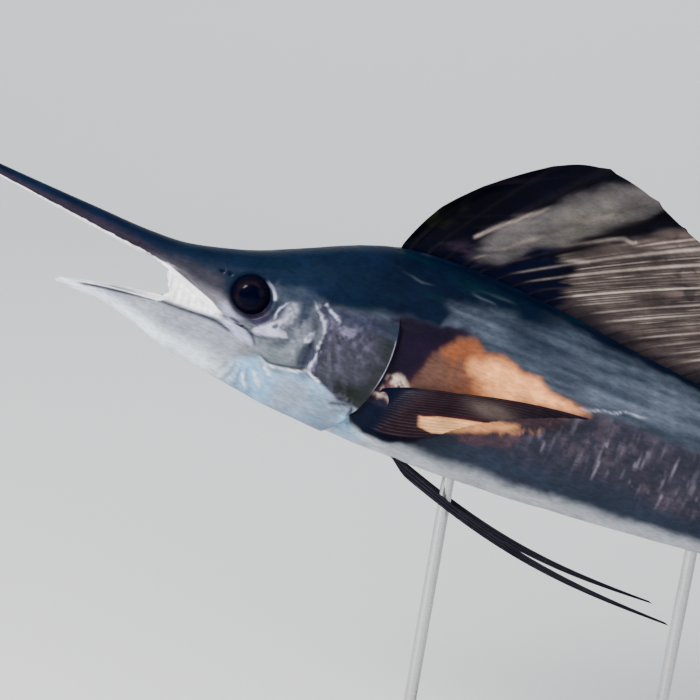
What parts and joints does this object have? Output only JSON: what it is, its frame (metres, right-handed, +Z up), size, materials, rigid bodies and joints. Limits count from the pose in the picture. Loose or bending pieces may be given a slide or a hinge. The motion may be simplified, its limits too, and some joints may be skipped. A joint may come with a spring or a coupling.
{
  "type": "sailfish model",
  "caption": "Life-size sailfish with its mouth open, its sail half raised and its breast fins folded back, on rods and a flat wooden base.",
  "frame": {"origin": "centre of the wooden base's underside", "axes": "+X towards the tail, so the bill points to -X and a little up; +Y towards the fish's right side; +Z up"},
  "size_m": [2.1428, 0.34, 0.8881],
  "materials": {
    "bill": "satin",
    "head_skin": "wet sheen",
    "jaw_skin": "wet sheen",
    "body_skin": "wet sheen",
    "tail_skin": "wet sheen",
    "sail_membrane": "satin",
    "fin_membrane": "satin",
    "eye": "gloss",
    "wood": "oiled",
    "steel": "brushed"
  },
  "bodies": {
    "root": {"bill": "bill", "head": "head_skin", "lower_jaw": "jaw_skin", "eye_left": "eye", "eye_right": "eye", "trunk_front": "body_skin", "trunk_rear": "body_skin", "tail_stock": "tail_skin", "dorsal_fin_first": "sail_membrane", "dorsal_fin_second": "fin_membrane", "anal_fin_first": "fin_membrane", "anal_fin_second": "fin_membrane", "pectoral_fin_left": "fin_membrane", "pectoral_fin_right": "fin_membrane", "pelvic_fin_left": "fin_membrane", "pelvic_fin_right": "fin_membrane", "caudal_fin_upper": "fin_membrane", "caudal_fin_lower": "fin_membrane", "stand_base": "wood", "stand_rod_front": "steel", "stand_rod_rear": "steel"}
  },
  "joints": []
}
